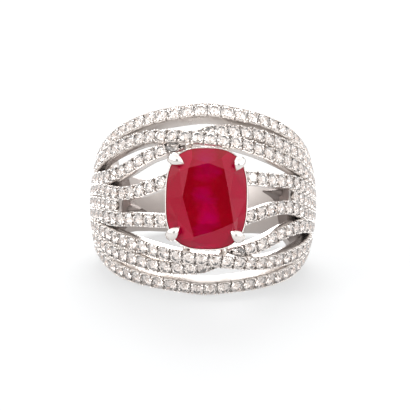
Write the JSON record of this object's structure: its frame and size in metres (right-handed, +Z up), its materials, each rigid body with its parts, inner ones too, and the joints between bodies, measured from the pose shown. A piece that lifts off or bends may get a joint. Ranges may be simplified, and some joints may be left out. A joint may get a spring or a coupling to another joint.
{
  "type": "ruby ring",
  "caption": "Wide domed dress ring: a cushion-cut ruby held in claws, with rows of small diamonds that sweep from the shoulders over and under each other round it.",
  "frame": {"origin": "middle of the ring's outline seen from above, on the surface that the ring lies on", "axes": "+Z up from that surface, +X to the right as the ruby is seen; the ruby faces -Y and 19 degrees up, because the ring lies on its side on the edge of its lower rim and the edge of its shank"},
  "size_m": [0.0226, 0.0256, 0.0176],
  "materials": {
    "white_gold": "polished",
    "ruby": "polished",
    "diamond": "polished"
  },
  "bodies": {
    "root": {"mount": "white_gold", "ruby": "ruby", "diamonds_upper_rim": "diamond", "diamonds_upper_over": "diamond", "diamonds_upper_under": "diamond", "diamonds_upper_middle": "diamond", "diamonds_lower_middle": "diamond", "diamonds_lower_under": "diamond", "diamonds_lower_over": "diamond", "diamonds_lower_rim": "diamond"}
  },
  "joints": []
}
